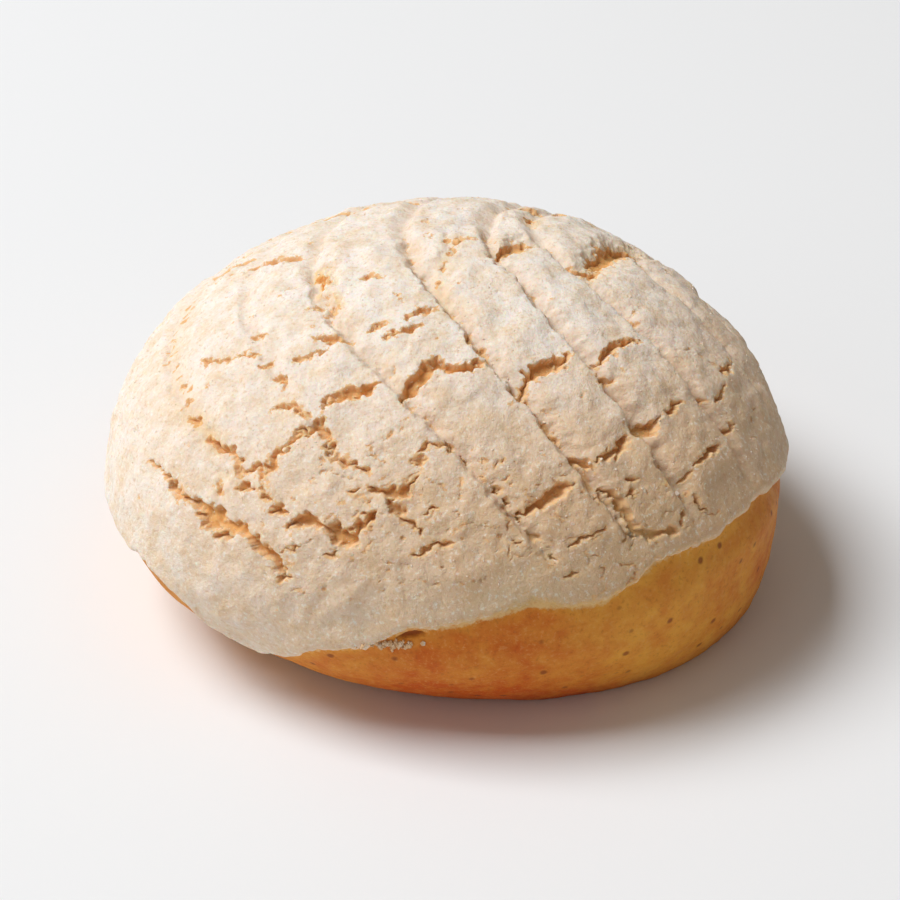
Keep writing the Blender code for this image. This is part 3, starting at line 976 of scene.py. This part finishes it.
def add_bump(tree, shader, height, strength, distance):
    bump = put(tree, "ShaderNodeBump", Strength=strength, Distance=distance)
    tree.links.new(height, bump.inputs["Height"])
    tree.links.new(bump.outputs["Normal"], shader.inputs["Normal"])


PASTE = (0.900, 0.820, 0.740, 1.0)
PASTE_WARM = (0.820, 0.650, 0.470, 1.0)
PASTE_FLECK = (0.660, 0.440, 0.250, 1.0)
PASTE_WHITE = (0.930, 0.880, 0.800, 1.0)
PASTE_PINK = (0.780, 0.570, 0.410, 1.0)
PASTE_YELLOW = (0.850, 0.600, 0.280, 1.0)
# Darker, warmer paste of the front-right side and the torn crumbs: partly baked tint, partly painted
# shade
PASTE_BAKED_AND_SHADED = (0.740, 0.500, 0.290, 1.0)
CRACK_TAN = (0.810, 0.520, 0.280, 1.0)
CRACK_GOLD = (0.780, 0.380, 0.120, 1.0)
BREAD_PALE = (0.810, 0.370, 0.050, 1.0)
BREAD_ORANGE = (0.580, 0.100, 0.005, 1.0)
BREAD_LIGHT = (0.800, 0.450, 0.140, 1.0)
FRECKLE = (0.260, 0.055, 0.010, 1.0)
FLOOR = (0.850, 0.865, 0.885, 1.0)


def speckle_group():
    """Fine light and dark specks, as two masks, for the finishes that are granular."""
    group = bpy.data.node_groups.new("fine_specks", "ShaderNodeTree")
    group.interface.new_socket("Places", in_out="INPUT", socket_type="NodeSocketVector")
    group.interface.new_socket("Scale", in_out="INPUT", socket_type="NodeSocketFloat")
    group.interface.new_socket("Dark", in_out="OUTPUT", socket_type="NodeSocketFloat")
    group.interface.new_socket("Light", in_out="OUTPUT", socket_type="NodeSocketFloat")
    inlet = group.nodes.new("NodeGroupInput")
    outlet = group.nodes.new("NodeGroupOutput")
    fine = put(group, "ShaderNodeTexNoise", Detail=2.0, Roughness=0.6)
    group.links.new(inlet.outputs["Places"], fine.inputs["Vector"])
    group.links.new(inlet.outputs["Scale"], fine.inputs["Scale"])
    dark = remap(group, fine.outputs["Fac"], 0.44, 0.30)
    light = remap(group, fine.outputs["Fac"], 0.56, 0.70)
    group.links.new(dark, outlet.inputs["Dark"])
    group.links.new(light, outlet.inputs["Light"])
    return group


SPECKLES = speckle_group()


def specks(tree, places, scale):
    node = put(tree, "ShaderNodeGroup", node_tree=SPECKLES)
    node.inputs["Scale"].default_value = scale
    tree.links.new(places, node.inputs["Places"])
    return node.outputs["Dark"], node.outputs["Light"]


def sugar_paste(name, glow):
    """Dry matte paste: cream with warm clouds and specks, tan to golden inside the cracks.

    The glow is how much light goes a little way through it.
    """
    material, tree, shader = add_material(name)
    places = object_places(tree)
    cloudy = noise(tree, places, scale=210.0, detail=5.0, roughness=0.7)
    clouds = remap(tree, cloudy, 0.42, 0.64, to_low=0.0, to_high=0.85)
    colour = mix(tree, clouds, PASTE, PASTE_WARM)
    # Darker, warmer front-right side and torn crumbs: partly baked tint, partly painted shade
    colour = mix(tree, mask(tree, "baked_and_shaded"), colour, PASTE_BAKED_AND_SHADED)
    dark, light = specks(tree, places, scale=1500.0)
    colour = tint(tree, colour, dark, 0.5, PASTE_FLECK)
    colour = tint(tree, colour, light, 0.6, PASTE_WHITE)
    colour = tint(tree, colour, mask(tree, "score"), 0.6, PASTE_PINK)
    colour = tint(tree, colour, mask(tree, "gold"), 0.8, PASTE_YELLOW)
    deep = mix(tree, mask(tree, "gold"), CRACK_TAN, CRACK_GOLD)
    crumbly = noise(tree, places, scale=1200.0, detail=3.0, roughness=0.7)
    inside = maths(tree, "MAXIMUM", mask(tree, "crack"), mask(tree, "line"))
    inside = maths(tree, "MAXIMUM", inside, maths(tree, "MULTIPLY", mask(tree, "stain"), 0.85))
    inside = maths(tree, "ADD", inside, remap(tree, crumbly, 0.3, 0.7, -0.45, 0.45))
    colour = mix(tree, remap(tree, inside, 0.50, 0.70), colour, deep)
    worn = maths(tree, "ADD", mask(tree, "rim"), remap(tree, crumbly, 0.3, 0.7, -0.3, 0.3))
    colour = mix(tree, remap(tree, worn, 0.35, 1.1, 0.0, 0.8), colour, BREAD_LIGHT)
    tree.links.new(colour, shader.inputs["Base Color"])
    shader.inputs["Roughness"].default_value = 0.95
    shader.inputs["Specular IOR Level"].default_value = 0.15
    shader.inputs["Subsurface Weight"].default_value = glow
    shader.inputs["Subsurface Radius"].default_value = (1.0, 0.5, 0.25)
    shader.inputs["Subsurface Scale"].default_value = 0.002
    sandy = noise(tree, places, scale=800.0, detail=4.0, roughness=0.85)
    add_bump(tree, shader, maths(tree, "ADD", sandy, crumbly), strength=0.65, distance=0.0004)
    return material


def baked_crust():
    """Golden crust: pale yellow to orange, finely pebbled, with small brown freckles."""
    material, tree, shader = add_material("baked_crust")
    places = object_places(tree)
    cloudy = noise(tree, places, scale=420.0, detail=4.0)
    mottle = remap(tree, cloudy, 0.35, 0.7, to_low=-0.18, to_high=0.18)
    toast = maths(tree, "ADD", mask(tree, "toast"), mottle)
    colour = mix(tree, toast, BREAD_PALE, BREAD_ORANGE)
    dark, light = specks(tree, places, scale=1500.0)
    colour = tint(tree, colour, dark, 0.25, FRECKLE)
    colour = tint(tree, colour, light, 0.28, BREAD_LIGHT)
    cells = put(tree, "ShaderNodeTexVoronoi", Scale=230.0)
    tree.links.new(places, cells.inputs["Vector"])
    freckles = remap(tree, cells.outputs["Distance"], 0.17, 0.08)
    colour = tint(tree, colour, freckles, 0.8, FRECKLE)
    crumbly = noise(tree, places, scale=1200.0, detail=3.0, roughness=0.7)
    dust = maths(tree, "ADD", mask(tree, "dust"), remap(tree, crumbly, 0.3, 0.7, -0.45, 0.45))
    colour = mix(tree, remap(tree, dust, 0.35, 0.9, 0.0, 0.8), colour, PASTE_YELLOW)
    colour = tint(tree, colour, mask(tree, "gash"), 0.85, FRECKLE)
    tree.links.new(colour, shader.inputs["Base Color"])
    shader.inputs["Roughness"].default_value = 0.6
    shader.inputs["Specular IOR Level"].default_value = 0.18
    pebble = noise(tree, places, scale=1400.0, detail=3.0, roughness=0.65)
    add_bump(tree, shader, pebble, strength=0.5, distance=0.0003)
    return material


def floor_finish():
    material, _, shader = add_material("pale_floor")
    shader.inputs["Base Color"].default_value = FLOOR
    shader.inputs["Roughness"].default_value = 0.9
    return material


# Setting
def add_floor():
    bpy.ops.object.select_all(action="DESELECT")
    bpy.ops.mesh.primitive_plane_add(size=6.0, location=(0.0, 0.0, 0.0))
    floor = bpy.context.object
    floor.name = "floor"
    floor.data.materials.append(floor_finish())


def add_area_light(name, place, size, power, colour):
    """A soft square light aimed at the bun."""
    light = bpy.data.lights.new(name, "AREA")
    light.size = size
    light.energy = power
    light.color = colour
    lamp = bpy.data.objects.new(name, light)
    bpy.context.scene.collection.objects.link(lamp)
    lamp.location = place
    lamp.rotation_euler = (LOOK_AT - Vector(place)).to_track_quat("-Z", "Y").to_euler()


def add_world(colour, strength):
    world = bpy.data.worlds.new("soft_sky")
    world.use_nodes = True
    sky = world.node_tree.nodes["Background"]
    sky.inputs["Color"].default_value = colour
    sky.inputs["Strength"].default_value = strength
    bpy.context.scene.world = world


def add_camera():
    camera = bpy.data.objects.new("camera", bpy.data.cameras.new("camera"))
    bpy.context.scene.collection.objects.link(camera)
    back = Vector((0.0, -math.cos(LOOK_DOWN), math.sin(LOOK_DOWN)))
    camera.location = LOOK_AT + CAMERA_DISTANCE * back
    camera.rotation_euler = (-back).to_track_quat("-Z", "Y").to_euler()
    camera.data.lens = LENS
    camera.data.shift_x = (PHOTO_SIDE / 2 - LOOK_AT_PIXEL[0]) / PHOTO_SIDE
    camera.data.shift_y = (LOOK_AT_PIXEL[1] - PHOTO_SIDE / 2) / PHOTO_SIDE
    camera.data.clip_start = 0.01
    bpy.context.scene.camera = camera


topping = add_topping()
topping.data.materials.append(sugar_paste("dry_sugar_paste", 0.35))
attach(topping, "root")
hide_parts("sugar_topping")

crumbs = add_crumbs()
crumbs.data.materials.append(sugar_paste("loose_sugar_paste", 0.0))
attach(crumbs, "root")

bun = add_bun()
bun.data.materials.append(baked_crust())
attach(bun, "root")
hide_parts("bun")

add_floor()
add_area_light("key_light", KEY_PLACE, KEY_SIZE, KEY_POWER, KEY_COLOUR)
add_area_light("fill_light", FILL_PLACE, FILL_SIZE, FILL_POWER, FILL_COLOUR)
add_world(SKY_COLOUR, SKY_STRENGTH)
bpy.context.scene.view_settings.view_transform = "Standard"
add_camera()
